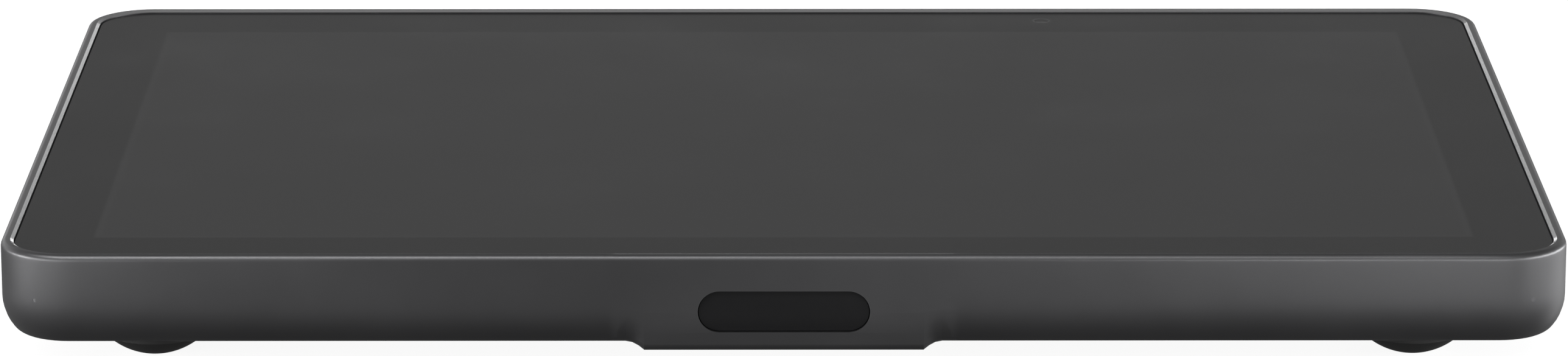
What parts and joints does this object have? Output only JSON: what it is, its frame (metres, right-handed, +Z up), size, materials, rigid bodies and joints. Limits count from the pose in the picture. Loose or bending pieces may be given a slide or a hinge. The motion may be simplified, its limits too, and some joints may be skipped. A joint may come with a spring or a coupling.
{
  "type": "smart display",
  "caption": "Flat smart display: a dark aluminium tub closed by a cover glass, with a sensor window in its front wall, keys and a power inlet at the back, on rubber feet.",
  "frame": {"origin": "under the middle of the body, on the plane the feet stand on", "axes": "+X along the long side, -Y out of the front wall with the sensor window, +Z up through the screen"},
  "size_m": [0.246, 0.1648, 0.0187],
  "materials": {
    "anodised_housing": "fine bead-blasted, dark grey anodised, with a bright-cut bevel inside the rim",
    "cover_glass": "polished, with a dark printed border on its back",
    "adhesive": "thin black adhesive",
    "touch_film": "clear film",
    "lcd_cell": "dark when off",
    "optical_film": "milky film",
    "acrylic": "clear, polished",
    "led_board": "white strip with amber lamps",
    "pressed_steel": "zinc plated",
    "foam": "closed-cell foam",
    "bare_aluminium": "plain rolled sheet",
    "fastener_steel": "black nickel",
    "circuit_board": "green solder mask",
    "chip_resin": "moulded resin",
    "tinned_steel": "tinned",
    "thermal_rubber": "soft pad",
    "connector_steel": "satin nickel",
    "black_plastic": "fine satin",
    "window_plastic": "smoky, satin polished, slightly crowned",
    "rubber": "matt silicone",
    "lens_plastic": "polished barrel",
    "shutter_steel": "black coated",
    "anodised_button": "dark grey anodised",
    "switch_plastic": "moulded",
    "speaker_plastic": "moulded",
    "driver_steel": "black plated",
    "aerial_plastic": "moulded carrier",
    "ribbon_film": "amber film",
    "foot_rubber": "matt black",
    "insert_brass": "knurled"
  },
  "bodies": {
    "display_body": {"housing": "anodised_housing", "cover_glass": "cover_glass", "glass_adhesive": "adhesive", "touch_sensor": "touch_film", "lcd_panel": "lcd_cell", "diffuser_sheet": "optical_film", "light_guide": "acrylic", "led_strip": "led_board", "backlight_tray": "pressed_steel", "panel_foam": "foam", "chassis": "bare_aluminium", "chassis_screws": "fastener_steel", "main_board": "circuit_board", "board_screws": "fastener_steel", "processor": "chip_resin", "shield_can": "tinned_steel", "thermal_pad": "thermal_rubber", "usb_c_shell": "connector_steel", "usb_c_tongue": "black_plastic", "sensor_window": "window_plastic", "sensor_board": "circuit_board", "mic_boot_left": "rubber", "mic_board_left": "circuit_board", "mic_boot_right": "rubber", "mic_board_right": "circuit_board", "camera_module": "black_plastic", "camera_lens": "lens_plastic", "volume_down_switch": "switch_plastic", "volume_up_switch": "switch_plastic", "mute_switch": "switch_plastic", "button_board": "circuit_board", "button_bracket": "pressed_steel", "bracket_screws": "fastener_steel", "speaker_gasket_left": "foam", "speaker_box_left": "speaker_plastic", "speaker_driver_left": "driver_steel", "speaker_gasket_right": "foam", "speaker_box_right": "speaker_plastic", "speaker_driver_right": "driver_steel", "speaker_screws": "fastener_steel", "wifi_aerial_left": "aerial_plastic", "wifi_aerial_right": "aerial_plastic", "display_ribbon": "ribbon_film", "ribbon_connector": "black_plastic", "foot_front_left": "foot_rubber", "foot_front_right": "foot_rubber", "foot_back_left": "foot_rubber", "foot_back_right": "foot_rubber", "mount_inserts": "insert_brass"},
    "volume_down": {"volume_down_button": "anodised_button", "volume_down_plunger": "black_plastic"},
    "volume_up": {"volume_up_button": "anodised_button", "volume_up_plunger": "black_plastic"},
    "mute": {"mute_button": "anodised_button", "mute_plunger": "black_plastic"},
    "shutter": {"shutter_slider": "black_plastic", "shutter_blade": "shutter_steel"}
  },
  "joints": [
    {"name": "volume_down_press", "type": "slide", "parent": "display_body", "child": "volume_down", "axis": [0, -1, 0], "range_m": [0, 0.0004], "stiffness_N_per_m": 2500, "springref_m": -0.0002},
    {"name": "volume_up_press", "type": "slide", "parent": "display_body", "child": "volume_up", "axis": [0, -1, 0], "range_m": [0, 0.0004], "stiffness_N_per_m": 2500, "springref_m": -0.0002},
    {"name": "mute_press", "type": "slide", "parent": "display_body", "child": "mute", "axis": [0, -1, 0], "range_m": [0, 0.0004], "stiffness_N_per_m": 2500, "springref_m": -0.0002},
    {"name": "shutter_slide", "type": "slide", "parent": "display_body", "child": "shutter", "axis": [-1, 0, 0], "range_m": [0, 0.0065]}
  ]
}
